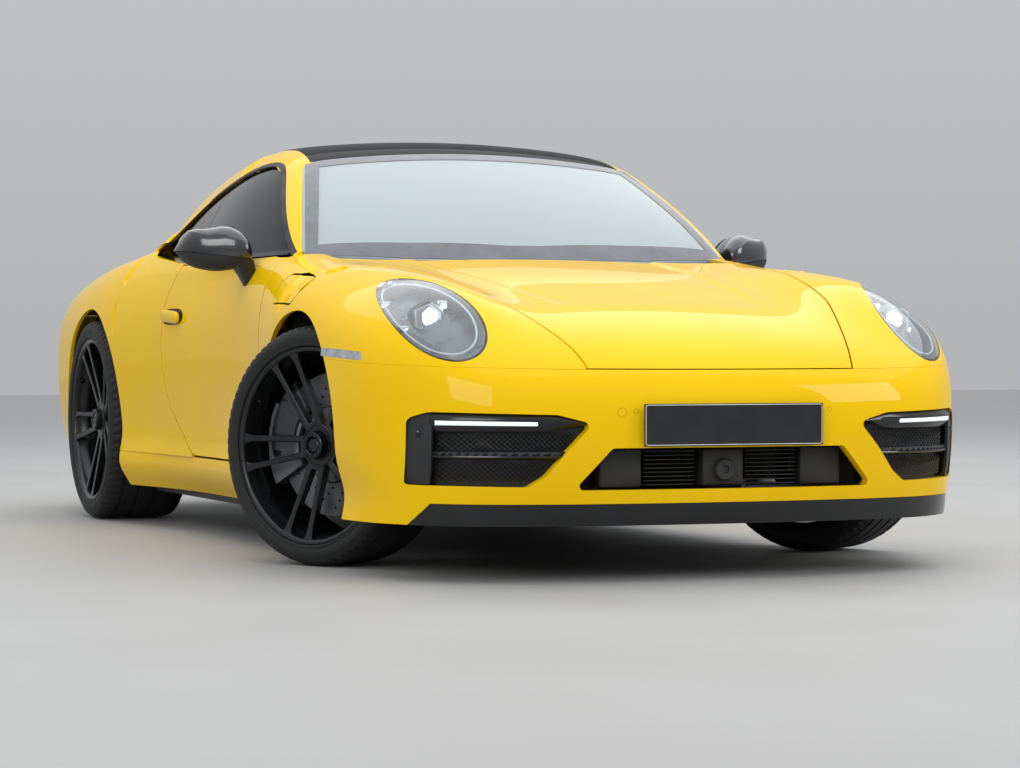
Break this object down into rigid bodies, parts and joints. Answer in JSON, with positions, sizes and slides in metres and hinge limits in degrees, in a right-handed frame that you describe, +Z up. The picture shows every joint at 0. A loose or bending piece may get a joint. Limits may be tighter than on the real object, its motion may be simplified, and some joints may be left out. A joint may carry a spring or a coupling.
{
  "type": "rear-engined sports coupe car",
  "caption": "Low two-door sports coupe with round headlamps, steered front wheels, opening doors, front and engine lids, fuel flap and rising rear spoiler.",
  "frame": {"origin": "on the ground, at the middle of the car's length and width", "axes": "+X to the car's left, +Y to its rear, +Z up"},
  "size_m": [2.0632, 4.5407, 1.3076],
  "materials": {
    "yellow_paint": "glossy",
    "black_paint": "glossy",
    "black_plastic": "grained",
    "gloss_black": "glossy",
    "glass": "polished",
    "tinted_glass": "polished",
    "lamp_glass": "polished",
    "lamp_housing": "satin",
    "red_lamp": "glossy",
    "white_lamp": "satin",
    "number_plate": "satin",
    "black_steel": "satin",
    "wheel_alloy": "satin black",
    "disc_iron": "ground",
    "tyre_rubber": "matte",
    "arm_alloy": "cast",
    "cabin_black": "soft",
    "seat_leather": "matte",
    "engine_alloy": "cast",
    "exhaust_steel": "brushed"
  },
  "bodies": {
    "body": {"cowl": "black_plastic", "front_bumper": "yellow_paint", "front_lip": "gloss_black", "front_wings": "yellow_paint", "roof_rails": "yellow_paint", "rear_wings": "yellow_paint", "rear_bumper": "yellow_paint", "roof_panel": "black_paint", "windscreen": "glass", "rear_window": "tinted_glass", "quarter_windows": "tinted_glass", "tail_lamp": "red_lamp", "headlamp_lenses": "lamp_glass", "headlamp_units": "lamp_housing", "side_lamps": "white_lamp", "front_grilles": "black_plastic", "daytime_lamps": "white_lamp", "number_plates": "number_plate", "chassis": "black_steel", "side_sills": "yellow_paint", "wheel_liners": "black_plastic", "luggage_tub": "black_plastic", "front_suspension": "arm_alloy", "rear_suspension": "arm_alloy", "dashboard": "cabin_black", "front_seats": "seat_leather", "rear_seats": "seat_leather", "steering_wheel": "seat_leather", "engine": "engine_alloy", "exhaust": "exhaust_steel"},
    "front_lid": {"front_lid": "yellow_paint"},
    "engine_lid": {"engine_lid": "yellow_paint", "engine_lid_grille": "black_plastic"},
    "rear_spoiler": {"rear_spoiler": "yellow_paint"},
    "fuel_flap": {"fuel_flap": "yellow_paint"},
    "door_left": {"door_left": "yellow_paint", "door_glass_left": "tinted_glass", "mirror_left": "gloss_black"},
    "door_right": {"door_right": "yellow_paint", "door_glass_right": "tinted_glass", "mirror_right": "gloss_black"},
    "knuckle_left": {"knuckle_left": "arm_alloy"},
    "knuckle_right": {"knuckle_right": "arm_alloy"},
    "wheel_front_left": {"tyre_front_left": "tyre_rubber", "rim_front_left": "wheel_alloy", "brake_disc_front_left": "disc_iron"},
    "wheel_front_right": {"tyre_front_right": "tyre_rubber", "rim_front_right": "wheel_alloy", "brake_disc_front_right": "disc_iron"},
    "wheel_rear_left": {"tyre_rear_left": "tyre_rubber", "rim_rear_left": "wheel_alloy", "brake_disc_rear_left": "disc_iron"},
    "wheel_rear_right": {"tyre_rear_right": "tyre_rubber", "rim_rear_right": "wheel_alloy", "brake_disc_rear_right": "disc_iron"}
  },
  "joints": [
    {"name": "front_lid_hinge", "type": "hinge", "parent": "body", "child": "front_lid", "pos_m": [0, -0.8605, 0.868], "axis": [-1, 0, 0], "range_deg": [0, 55]},
    {"name": "engine_lid_hinge", "type": "hinge", "parent": "body", "child": "engine_lid", "pos_m": [0, 1.4445, 0.888], "axis": [1, 0, 0], "range_deg": [0, 50]},
    {"name": "spoiler_slide", "type": "slide", "parent": "body", "child": "rear_spoiler", "axis": [0, 0, 1], "range_m": [0, 0.06]},
    {"name": "fuel_flap_hinge", "type": "hinge", "parent": "body", "child": "fuel_flap", "pos_m": [-0.83034, -1.22878, 0.76499], "axis": [0.7281, -0.2066, 0.6536], "range_deg": [0, 70]},
    {"name": "door_left_hinge", "type": "hinge", "parent": "body", "child": "door_left", "pos_m": [0.829, -0.7885, 0.56], "axis": [0, 0, -1], "range_deg": [0, 65]},
    {"name": "door_right_hinge", "type": "hinge", "parent": "body", "child": "door_right", "pos_m": [-0.829, -0.7885, 0.56], "axis": [0, 0, 1], "range_deg": [0, 65]},
    {"name": "steer_right", "type": "hinge", "parent": "body", "child": "knuckle_right", "pos_m": [-0.74, -1.2765, 0.34], "axis": [0, 0, 1], "range_deg": [-61, 5]},
    {"name": "steer_left", "type": "hinge", "parent": "body", "child": "knuckle_left", "pos_m": [0.74, -1.2765, 0.34], "axis": [0, 0, 1], "range_deg": [-61, 5]},
    {"name": "spin_front_left", "type": "hinge", "parent": "knuckle_left", "child": "wheel_front_left", "pos_m": [0.77973, -1.25537, 0.34], "axis": [0.8829, 0.4695, 0], "continuous": true},
    {"name": "spin_front_right", "type": "hinge", "parent": "knuckle_right", "child": "wheel_front_right", "pos_m": [-0.77973, -1.29763, 0.34], "axis": [0.8829, 0.4695, 0], "continuous": true},
    {"name": "spin_rear_left", "type": "hinge", "parent": "body", "child": "wheel_rear_left", "pos_m": [0.765, 1.1735, 0.358], "axis": [1, 0, 0], "continuous": true},
    {"name": "spin_rear_right", "type": "hinge", "parent": "body", "child": "wheel_rear_right", "pos_m": [-0.765, 1.1735, 0.358], "axis": [1, 0, 0], "continuous": true}
  ],
  "couplings": [
    {"joint": "steer_left", "follows": "steer_right", "ratio": 1}
  ]
}
